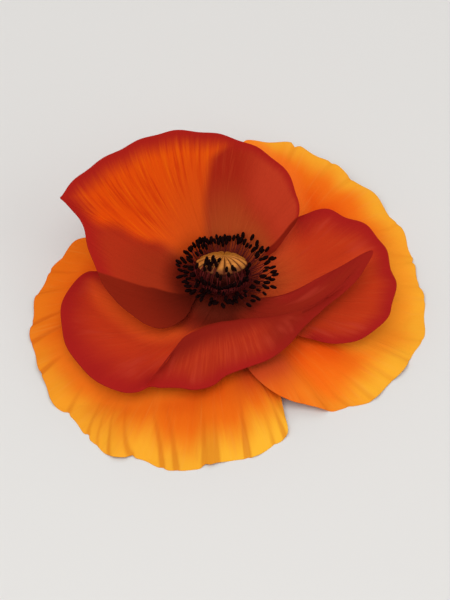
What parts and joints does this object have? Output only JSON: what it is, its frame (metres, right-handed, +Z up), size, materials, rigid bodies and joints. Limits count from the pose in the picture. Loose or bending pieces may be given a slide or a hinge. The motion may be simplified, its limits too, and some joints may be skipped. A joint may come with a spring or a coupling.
{
  "type": "poppy flower",
  "caption": "Open poppy flower picked with a short stub of stem and laid face up: broad outer petals, a standing and a folded inner petal, ribbed ovary and dark stamens.",
  "frame": {"origin": "on the surface the flower lies on, under the middle of its bounding box", "axes": "+Z up out of the open flower's face, -Y towards the side seen nearest in the picture, +X to the picture's right"},
  "size_m": [0.1004, 0.0998, 0.04],
  "materials": {
    "outer_petal": "thin satin petal, orange near the heart and golden yellow at the margin",
    "inner_petal": "thin satin petal, orange-red with a crimson margin",
    "ovary": "matt golden ribs with olive between them",
    "stamens": "matt, near-black maroon anthers on dark red filaments",
    "stem": "matt green, slightly hairy"
  },
  "bodies": {
    "root": {"outer_petal_left": "outer_petal", "outer_petal_right": "outer_petal", "inner_petal_right": "inner_petal", "inner_petal_back": "inner_petal", "inner_petal_front": "inner_petal", "ovary": "ovary", "stamens": "stamens", "receptacle": "stem"}
  },
  "joints": []
}
